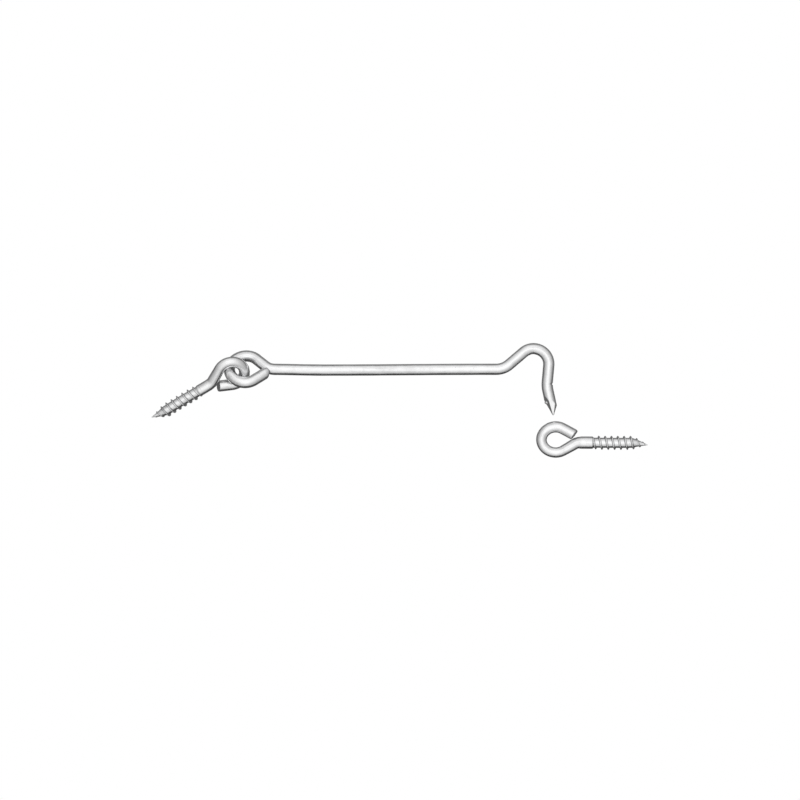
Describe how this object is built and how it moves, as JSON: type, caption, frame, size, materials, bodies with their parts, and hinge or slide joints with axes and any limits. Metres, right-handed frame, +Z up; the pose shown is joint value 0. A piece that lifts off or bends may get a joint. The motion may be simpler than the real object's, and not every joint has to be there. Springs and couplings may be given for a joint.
{
  "type": "hook and eye latch",
  "caption": "Bent wire hook with a pointed crook, linked through its eye to a wood-screw eye, with a matching loose screw eye as its catch.",
  "frame": {"origin": "on the surface that the set lies on, under the middle of its bounding box", "axes": "+X along the hook's rod from its eye to its crook, +Y towards the back of the crook, +Z up from the surface"},
  "size_m": [0.2252, 0.0524, 0.0134],
  "materials": {
    "zinc_plated_wire": "bright zinc plating over drawn steel wire"
  },
  "bodies": {
    "pivot_screw_eye": {"pivot_screw_eye": "zinc_plated_wire"},
    "hook_arm": {"hook_arm": "zinc_plated_wire"},
    "catch_screw_eye": {"catch_screw_eye": "zinc_plated_wire"}
  },
  "joints": [
    {"name": "hook_swing", "type": "hinge", "parent": "pivot_screw_eye", "child": "hook_arm", "pos_m": [-0.0765, 0.0125, 0.0075], "axis": [0.1776, -0.5299, 0.8292], "range_deg": [0, 120]},
    {"name": "catch_lift", "type": "slide", "parent": "pivot_screw_eye", "child": "catch_screw_eye", "axis": [0, 0, 1], "range_m": [0, 0.04]}
  ]
}
